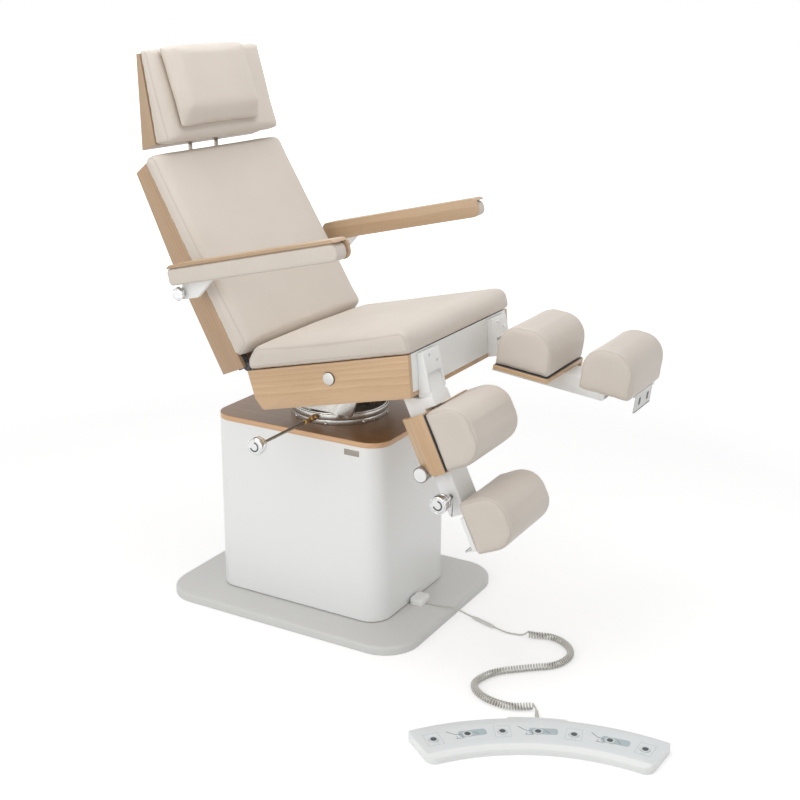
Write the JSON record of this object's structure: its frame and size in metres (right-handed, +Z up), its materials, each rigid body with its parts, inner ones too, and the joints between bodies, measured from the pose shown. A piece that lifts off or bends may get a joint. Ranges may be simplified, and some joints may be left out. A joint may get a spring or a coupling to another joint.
{
  "type": "podiatry chair",
  "caption": "Lifting podiatry chair with a swivel seat, tilt, reclining back, headrest, flip-up arms, two separate swinging leg rests and a foot control.",
  "frame": {"origin": "centre of the base plate's underside, on the floor", "axes": "+Z up, the sitter faces -Y, the sitter's right hand is at -X"},
  "size_m": [1.079, 1.5955, 1.5525],
  "materials": {
    "base_paint": "light grey paint, fine texture",
    "white_paint": "white powder coat",
    "steel": "bare machined steel",
    "dark_steel": "dark grey powder coat",
    "chrome": "polished chrome",
    "oak": "clear-lacquered oak veneer with rounded edges",
    "upholstery": "beige upholstery vinyl with a fine grain",
    "knob_plastic": "dark moulded plastic",
    "cord_grey": "grey cord sheath",
    "control_white": "pale grey moulded plastic",
    "button_grey": "pale grey moulded plastic"
  },
  "bodies": {
    "root": {"base_plate": "base_paint", "lower_shell": "white_paint", "column_outer": "steel", "cord_outlet": "white_paint", "foot_control_base": "control_white", "foot_control_cover": "control_white", "foot_lead": "cord_grey", "lead_sleeve": "cord_grey", "foot_lead_tail": "cord_grey", "curly_cord": "cord_grey", "strain_relief": "cord_grey"},
    "lift": {"upper_shell": "white_paint", "pedestal_top": "oak", "column_inner": "steel", "turntable_base": "steel"},
    "turntable": {"seat_yoke": "steel"},
    "lock_lever": {"lock_rod": "steel", "lock_knob": "chrome"},
    "seat": {"seat_frame": "dark_steel", "seat_side_left": "oak", "seat_side_right": "oak", "front_panel": "white_paint", "seat_bottom": "oak", "seat_cushion": "upholstery", "tilt_axle": "chrome", "leg_brackets": "white_paint"},
    "back": {"back_frame": "dark_steel", "back_shell": "oak", "back_cushion": "upholstery"},
    "headrest": {"headrest_posts": "chrome", "headrest_wood": "oak", "headrest_pad": "upholstery", "neck_pillow": "upholstery"},
    "arm_right": {"arm_bracket_right": "white_paint", "arm_wood_right": "oak", "arm_pad_right": "upholstery"},
    "arm_knob_right": {"arm_knob_right": "chrome"},
    "leg_right": {"leg_tube_right": "white_paint", "calf_board_right": "oak", "calf_pad_right": "upholstery"},
    "leg_slider_right": {"leg_slider_right": "white_paint", "heel_pad_right": "upholstery"},
    "leg_knob_right": {"leg_knob_right": "chrome"},
    "arm_left": {"arm_bracket_left": "white_paint", "arm_wood_left": "oak", "arm_pad_left": "upholstery"},
    "arm_knob_left": {"arm_knob_left": "chrome"},
    "leg_left": {"leg_tube_left": "white_paint", "calf_board_left": "oak", "calf_pad_left": "upholstery"},
    "leg_slider_left": {"leg_slider_left": "white_paint", "heel_pad_left": "upholstery"},
    "leg_knob_left": {"leg_knob_left": "chrome"},
    "button_1": {"button_1": "button_grey"},
    "button_2": {"button_2": "button_grey"},
    "button_3": {"button_3": "button_grey"},
    "button_4": {"button_4": "button_grey"},
    "button_5": {"button_5": "button_grey"},
    "button_6": {"button_6": "button_grey"},
    "button_7": {"button_7": "button_grey"}
  },
  "joints": [
    {"name": "pedestal_lift", "type": "slide", "parent": "root", "child": "lift", "axis": [0, 0, 1], "range_m": [0, 0.3]},
    {"name": "seat_swivel", "type": "hinge", "parent": "lift", "child": "turntable", "pos_m": [0, -0.025, 0.567], "axis": [0, 0, 1], "range_deg": [-90, 90]},
    {"name": "turntable_lock", "type": "hinge", "parent": "turntable", "child": "lock_lever", "pos_m": [-0.2, -0.035, 0.575], "axis": [1, 0, 0], "range_deg": [-90, 90]},
    {"name": "seat_tilt", "type": "hinge", "parent": "turntable", "child": "seat", "pos_m": [0, -0.173, 0.743], "axis": [-1, 0, 0], "range_deg": [-13.2, 7]},
    {"name": "back_recline", "type": "hinge", "parent": "seat", "child": "back", "pos_m": [0, 0.10083, 0.72808], "axis": [-1, 0, 0], "range_deg": [0, 70]},
    {"name": "headrest_slide", "type": "slide", "parent": "back", "child": "headrest", "axis": [0, 0.497, 0.8678], "range_m": [0, 0.09]},
    {"name": "arm_flip_right", "type": "hinge", "parent": "back", "child": "arm_right", "pos_m": [-0.356, 0.2294, 0.93447], "axis": [-1, 0, 0], "range_deg": [-20, 85]},
    {"name": "arm_knob_turn_right", "type": "hinge", "parent": "back", "child": "arm_knob_right", "pos_m": [-0.376, 0.2294, 0.93447], "axis": [1, 0, 0], "continuous": true},
    {"name": "leg_swing_right", "type": "hinge", "parent": "seat", "child": "leg_right", "pos_m": [-0.1995, -0.41236, 0.756], "axis": [-1, 0, 0], "range_deg": [0, 60]},
    {"name": "leg_extension_right", "type": "slide", "parent": "leg_right", "child": "leg_slider_right", "axis": [0, -0.4274, -0.9041], "range_m": [0, 0.09]},
    {"name": "leg_knob_turn_right", "type": "hinge", "parent": "leg_right", "child": "leg_knob_right", "pos_m": [-0.26, -0.50626, 0.47077], "axis": [1, 0, 0], "continuous": true},
    {"name": "arm_flip_left", "type": "hinge", "parent": "back", "child": "arm_left", "pos_m": [0.356, 0.2294, 0.93447], "axis": [-1, 0, 0], "range_deg": [-20, 85]},
    {"name": "arm_knob_turn_left", "type": "hinge", "parent": "back", "child": "arm_knob_left", "pos_m": [0.376, 0.2294, 0.93447], "axis": [1, 0, 0], "continuous": true},
    {"name": "leg_swing_left", "type": "hinge", "parent": "seat", "child": "leg_left", "pos_m": [0.1995, -0.41236, 0.756], "axis": [-1, 0, 0], "range_deg": [-58.1, 1.9]},
    {"name": "leg_extension_left", "type": "slide", "parent": "leg_left", "child": "leg_slider_left", "axis": [0, -0.9934, -0.1149], "range_m": [0, 0.09]},
    {"name": "leg_knob_turn_left", "type": "hinge", "parent": "leg_left", "child": "leg_knob_left", "pos_m": [0.26, -0.70413, 0.68499], "axis": [1, 0, 0], "continuous": true},
    {"name": "button_press_1", "type": "slide", "parent": "root", "child": "button_1", "axis": [0, 0, -1], "range_m": [0, 0.0015], "stiffness_N_per_m": 400, "springref_m": -0.0008},
    {"name": "button_press_2", "type": "slide", "parent": "root", "child": "button_2", "axis": [0, 0, -1], "range_m": [0, 0.0015], "stiffness_N_per_m": 400, "springref_m": -0.0008},
    {"name": "button_press_3", "type": "slide", "parent": "root", "child": "button_3", "axis": [0, 0, -1], "range_m": [0, 0.0015], "stiffness_N_per_m": 400, "springref_m": -0.0008},
    {"name": "button_press_4", "type": "slide", "parent": "root", "child": "button_4", "axis": [0, 0, -1], "range_m": [0, 0.0015], "stiffness_N_per_m": 400, "springref_m": -0.0008},
    {"name": "button_press_5", "type": "slide", "parent": "root", "child": "button_5", "axis": [0, 0, -1], "range_m": [0, 0.0015], "stiffness_N_per_m": 400, "springref_m": -0.0008},
    {"name": "button_press_6", "type": "slide", "parent": "root", "child": "button_6", "axis": [0, 0, -1], "range_m": [0, 0.0015], "stiffness_N_per_m": 400, "springref_m": -0.0008},
    {"name": "button_press_7", "type": "slide", "parent": "root", "child": "button_7", "axis": [0, 0, -1], "range_m": [0, 0.0015], "stiffness_N_per_m": 400, "springref_m": -0.0008}
  ]
}
